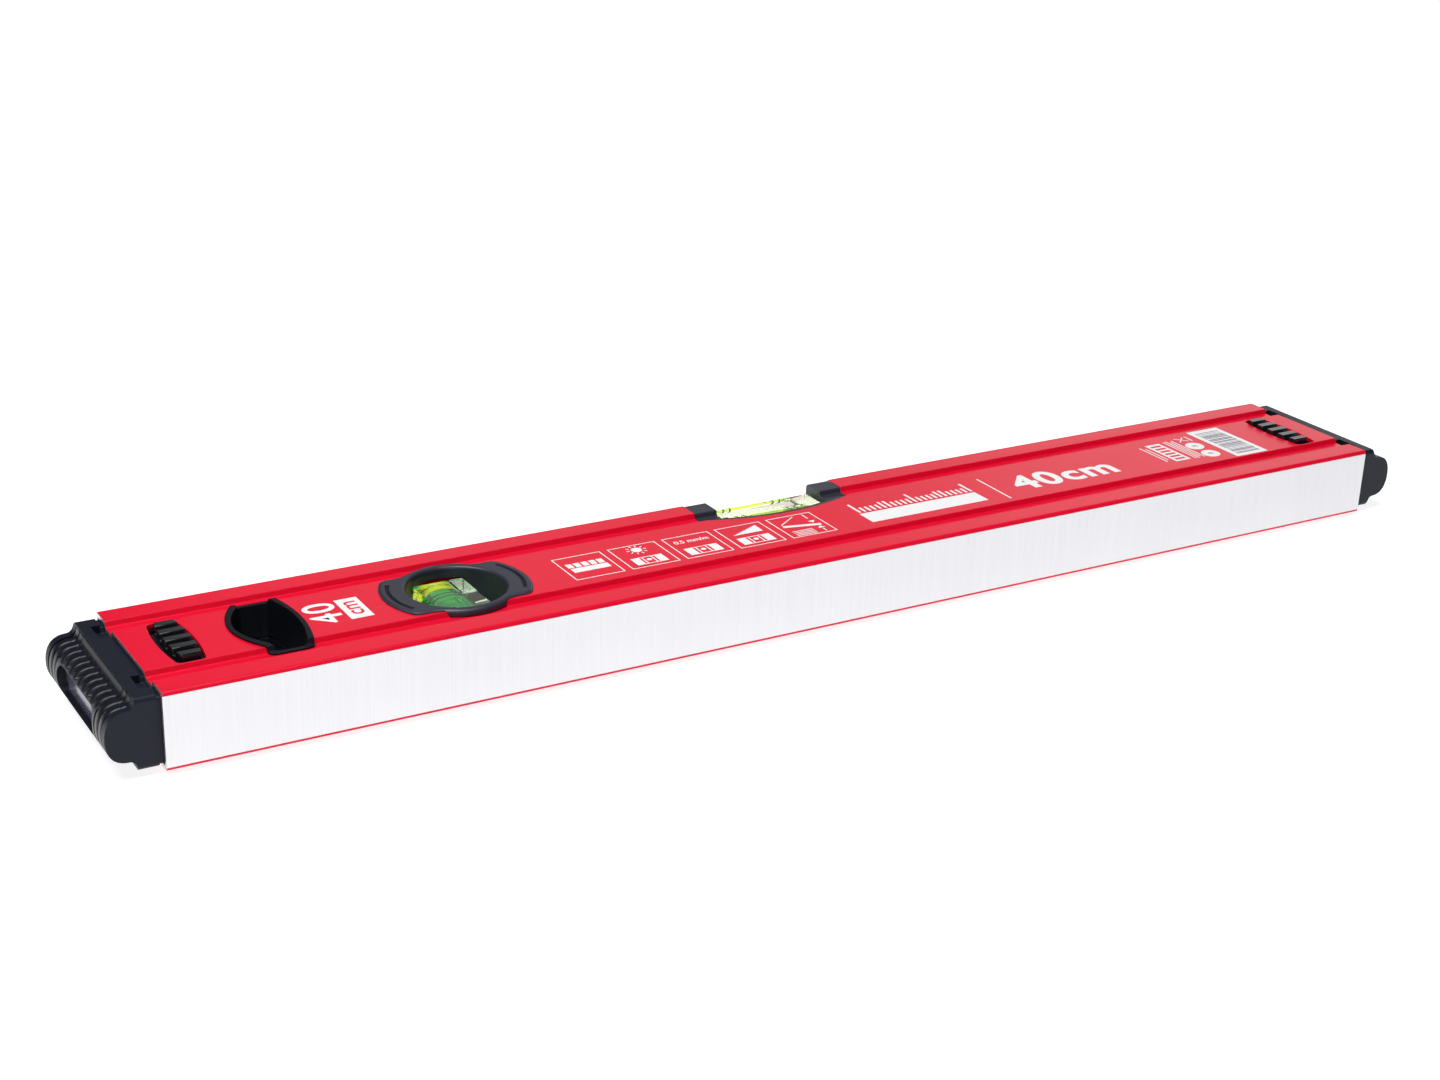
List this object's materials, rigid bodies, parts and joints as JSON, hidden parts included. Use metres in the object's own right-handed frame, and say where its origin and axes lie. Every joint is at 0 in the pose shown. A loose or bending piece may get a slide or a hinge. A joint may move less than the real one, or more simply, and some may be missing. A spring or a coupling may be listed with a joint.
{
  "type": "spirit level",
  "caption": "Box-section spirit level with a horizontal and a plumb vial, a hang hole and removable end caps with squeeze latches.",
  "frame": {"origin": "under the middle of the level, on the plane that its back pads rest on", "axes": "+X along the level towards the end that is further from the hang hole, -Y out of the milled measuring edge, +Y out of the edge with the horizontal vial, +Z out of the printed front face"},
  "size_m": [0.4008, 0.051, 0.0222],
  "materials": {
    "painted_profile": "semi-gloss red powder coat, with one long edge milled bare",
    "cap_plastic": "fine-grained dark blue-grey moulding",
    "bumper_rubber": "satin moulded rubber",
    "pad_plastic": "glossy black",
    "acrylic": "clear cast acrylic, polished",
    "vial_plug": "translucent cream",
    "vial_liquid": "yellow-green fluorescent spirit",
    "vial_bubble": "air",
    "line_black": "black ink"
  },
  "bodies": {
    "root": {"aluminium_profile": "painted_profile", "horizontal_vial_holder": "cap_plastic", "horizontal_vial_block": "acrylic", "horizontal_vial_plug": "vial_plug", "horizontal_vial_liquid": "vial_liquid", "horizontal_line_ring_1": "line_black", "horizontal_line_ring_2": "line_black", "horizontal_line_ring_3": "line_black", "horizontal_line_ring_4": "line_black", "plumb_vial_block": "acrylic", "plumb_vial_plug": "vial_plug", "plumb_vial_liquid": "vial_liquid", "plumb_line_ring_1": "line_black", "plumb_line_ring_2": "line_black", "plumb_line_ring_3": "line_black", "plumb_line_ring_4": "line_black", "plumb_bezel_front": "cap_plastic", "plumb_bezel_back": "cap_plastic", "hang_hole_liner_front": "cap_plastic", "hang_hole_liner_back": "cap_plastic"},
    "left_cap": {"left_cap_shell": "cap_plastic", "left_cap_bumper": "bumper_rubber"},
    "left_front_latch": {"left_front_latch_arm": "cap_plastic", "left_front_latch_pad": "pad_plastic"},
    "left_back_latch": {"left_back_latch_arm": "cap_plastic", "left_back_latch_pad": "pad_plastic"},
    "right_cap": {"right_cap_shell": "cap_plastic", "right_cap_bumper": "bumper_rubber"},
    "right_front_latch": {"right_front_latch_arm": "cap_plastic", "right_front_latch_pad": "pad_plastic"},
    "right_back_latch": {"right_back_latch_arm": "cap_plastic", "right_back_latch_pad": "pad_plastic"},
    "horizontal_bubble": {"horizontal_vial_bubble": "vial_bubble"},
    "plumb_bubble": {"plumb_vial_bubble": "vial_bubble"}
  },
  "joints": [
    {"name": "left_cap_slide", "type": "slide", "parent": "root", "child": "left_cap", "axis": [-1, 0, 0], "range_m": [-0.0007, 0.0013]},
    {"name": "right_cap_slide", "type": "slide", "parent": "root", "child": "right_cap", "axis": [1, 0, 0], "range_m": [0, 0.002]},
    {"name": "left_front_latch_press", "type": "slide", "parent": "left_cap", "child": "left_front_latch", "axis": [0, 0, -1], "range_m": [0, 0.003], "stiffness_N_per_m": 6000, "springref_m": -0.0015},
    {"name": "left_back_latch_press", "type": "slide", "parent": "left_cap", "child": "left_back_latch", "axis": [0, 0, 1], "range_m": [0, 0.003], "stiffness_N_per_m": 6000, "springref_m": -0.0015},
    {"name": "right_front_latch_press", "type": "slide", "parent": "right_cap", "child": "right_front_latch", "axis": [0, 0, -1], "range_m": [0, 0.003], "stiffness_N_per_m": 6000, "springref_m": -0.0015},
    {"name": "right_back_latch_press", "type": "slide", "parent": "right_cap", "child": "right_back_latch", "axis": [0, 0, 1], "range_m": [0, 0.003], "stiffness_N_per_m": 6000, "springref_m": -0.0015},
    {"name": "horizontal_bubble_travel", "type": "slide", "parent": "root", "child": "horizontal_bubble", "axis": [1, 0, 0], "range_m": [-0.0056, 0.0056], "stiffness_N_per_m": 0.2},
    {"name": "plumb_bubble_travel", "type": "slide", "parent": "root", "child": "plumb_bubble", "axis": [0, 1, 0], "range_m": [-0.0036, 0.0036], "stiffness_N_per_m": 0.2}
  ]
}
